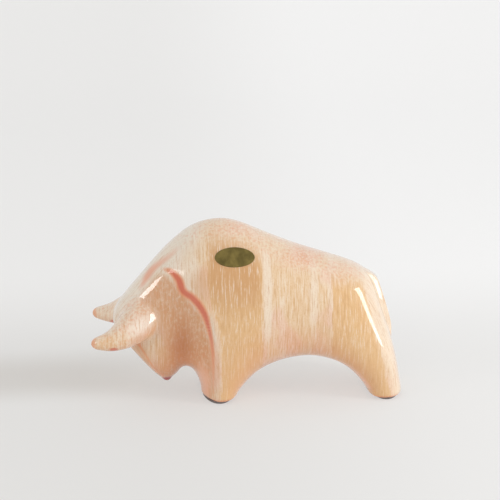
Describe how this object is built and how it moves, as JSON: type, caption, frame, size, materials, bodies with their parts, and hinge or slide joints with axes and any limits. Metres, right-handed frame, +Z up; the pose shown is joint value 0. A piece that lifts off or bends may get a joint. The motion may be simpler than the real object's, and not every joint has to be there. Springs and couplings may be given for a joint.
{
  "type": "ceramic bull figurine",
  "caption": "Hollow glazed ceramic bull with a lowered head, forward horns, humped shoulder, arched belly and felt-padded feet.",
  "frame": {"origin": "on the surface that the figurine stands on, under the middle of its bounding box", "axes": "+X to the tail, head towards -X, +Y to the bull's right side, +Z up"},
  "size_m": [0.2628, 0.0904, 0.1528],
  "materials": {
    "body_glaze": "glossy streaked glaze, cream and ochre, breaking red on ridges",
    "horn_glaze": "glossy pinkish brown glaze with pale root and red tip",
    "tail_glaze": "glossy pale cream glaze",
    "felt": "dark grey pressed felt",
    "foil": "satin dull gold foil on paper"
  },
  "bodies": {
    "root": {"body_casting": "body_glaze", "left_horn": "horn_glaze", "right_horn": "horn_glaze", "tail": "tail_glaze", "front_felt_pad": "felt", "rear_felt_pad": "felt", "foil_label": "foil"}
  },
  "joints": []
}
